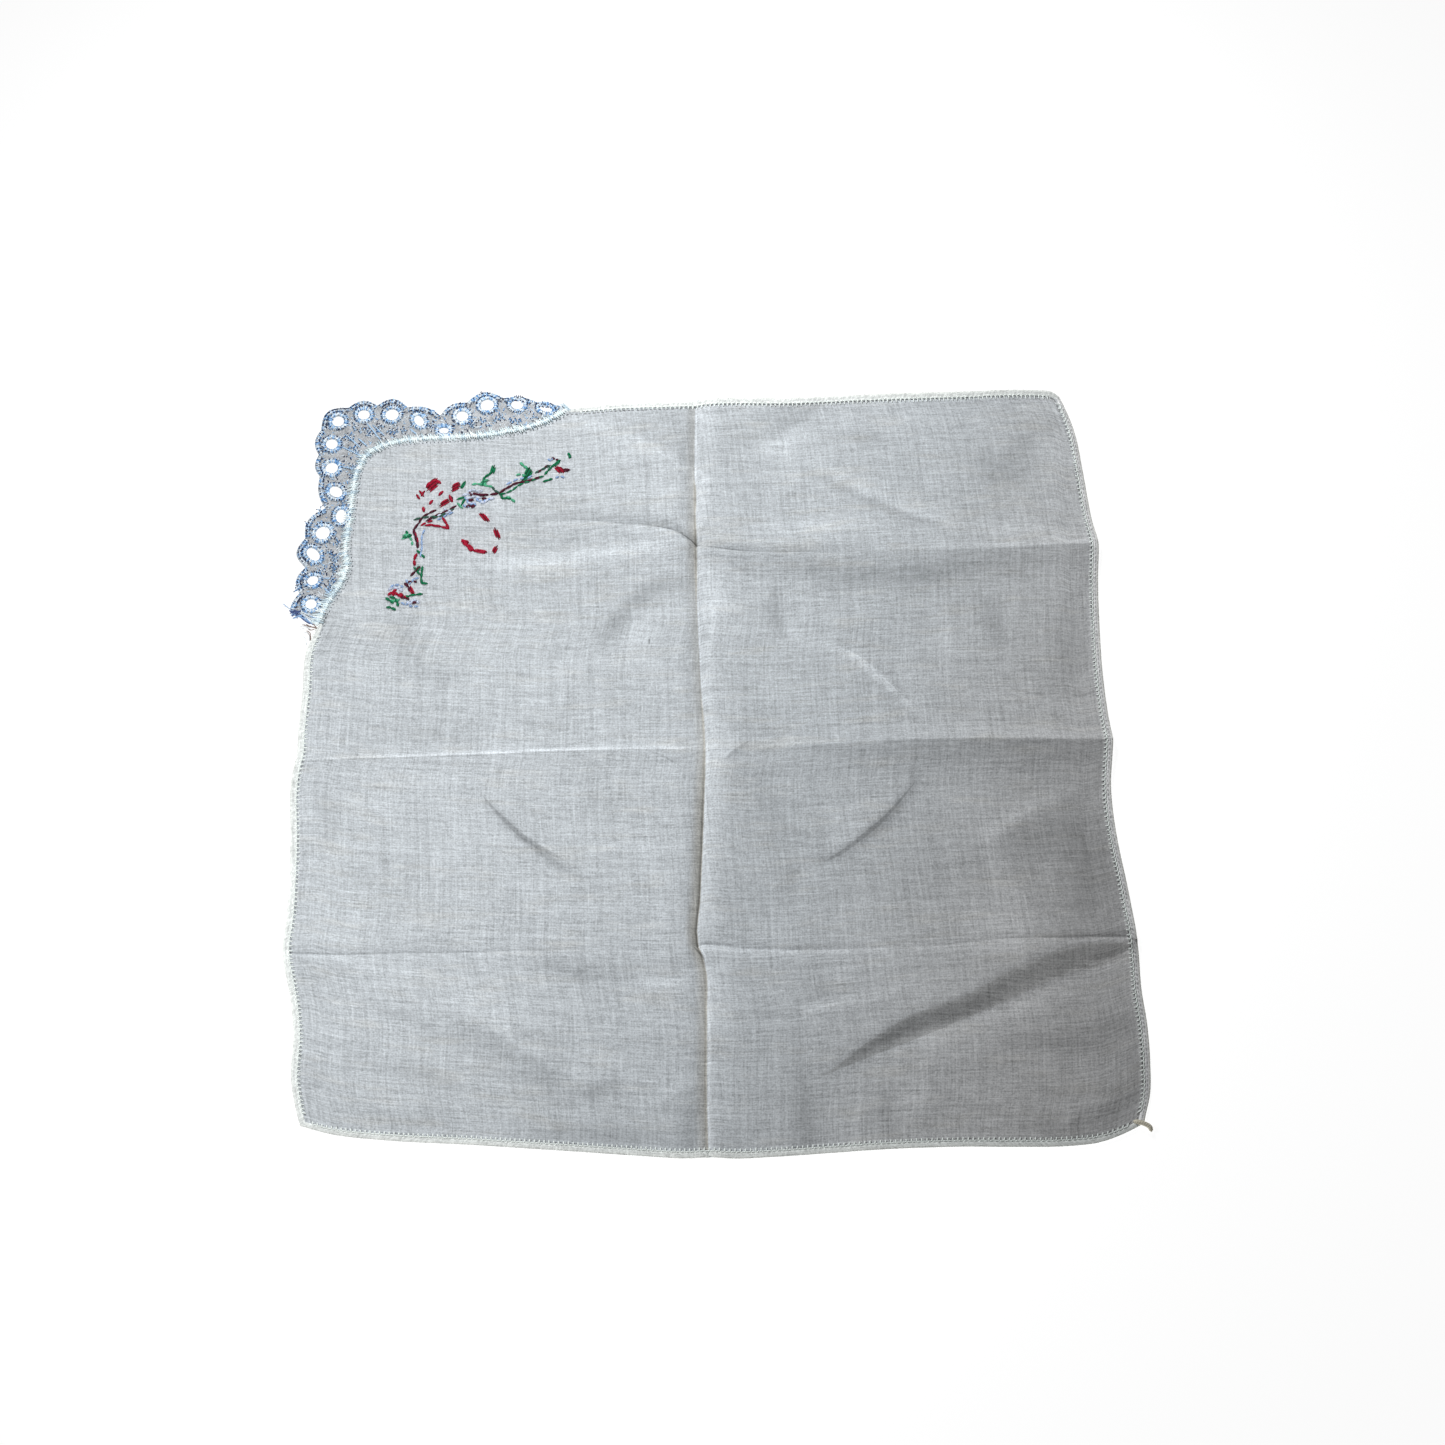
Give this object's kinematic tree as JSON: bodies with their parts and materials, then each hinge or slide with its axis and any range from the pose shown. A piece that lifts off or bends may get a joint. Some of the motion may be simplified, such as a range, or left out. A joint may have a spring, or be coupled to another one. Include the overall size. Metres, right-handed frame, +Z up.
{
  "type": "handkerchief",
  "caption": "Square lady's handkerchief of fine sheer cotton with a narrow hem, lying open on its fold creases, one corner filled with scalloped eyelet lace.",
  "frame": {"origin": "on the surface that the handkerchief lies on, under the middle of its outline", "axes": "+X along the near hem to the right, +Y away from the viewer, +Z up from the surface"},
  "size_m": [0.3076, 0.3023, 0.0064],
  "materials": {
    "cotton": "fine sheer plain weave, off-white",
    "lace_thread": "eyelet lace in grey, white and blue thread"
  },
  "bodies": {
    "root": {"cloth": "cotton", "lace": "lace_thread"}
  },
  "joints": []
}
